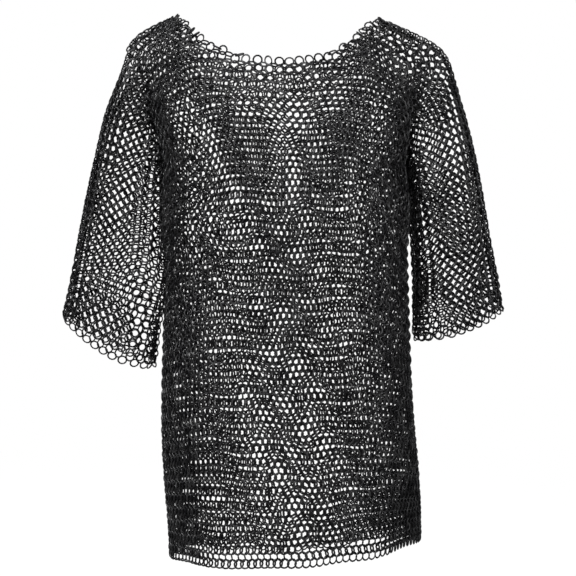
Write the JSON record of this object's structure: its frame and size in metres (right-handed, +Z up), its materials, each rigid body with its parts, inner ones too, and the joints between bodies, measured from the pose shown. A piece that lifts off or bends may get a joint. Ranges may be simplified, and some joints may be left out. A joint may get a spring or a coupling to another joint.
{
  "type": "haubergeon",
  "caption": "Half-sleeved mail shirt of linked round steel rings with a wide neck, wide sleeves and a straight hem.",
  "frame": {"origin": "point midway between the shoulders, level with the top of the shirt", "axes": "+Z up, -Y to the wearer's front, +X to the wearer's left"},
  "size_m": [0.6241, 0.3036, 0.7917],
  "materials": {
    "mail": "blackened, satin"
  },
  "bodies": {
    "torso": {"front_chest": "mail", "upper_back": "mail", "front_neck": "mail", "back_neck": "mail", "left_shoulder": "mail", "right_shoulder": "mail", "front_waist": "mail", "back_waist": "mail", "left_flank": "mail", "right_flank": "mail", "front_skirt": "mail", "back_skirt": "mail", "left_hip": "mail", "right_hip": "mail"},
    "left_sleeve": {"left_sleeve_upper_front": "mail", "left_sleeve_upper_back": "mail", "left_sleeve_lower_front": "mail", "left_sleeve_lower_back": "mail"},
    "right_sleeve": {"right_sleeve_upper_front": "mail", "right_sleeve_upper_back": "mail", "right_sleeve_lower_front": "mail", "right_sleeve_lower_back": "mail"}
  },
  "joints": [
    {"name": "left_sleeve_swing", "type": "hinge", "parent": "torso", "child": "left_sleeve", "pos_m": [0.22415, 0, -0.0454], "axis": [0, -1, 0], "range_deg": [0, 45]},
    {"name": "right_sleeve_swing", "type": "hinge", "parent": "torso", "child": "right_sleeve", "pos_m": [-0.22415, 0, -0.0454], "axis": [0, 1, 0], "range_deg": [0, 45]}
  ]
}
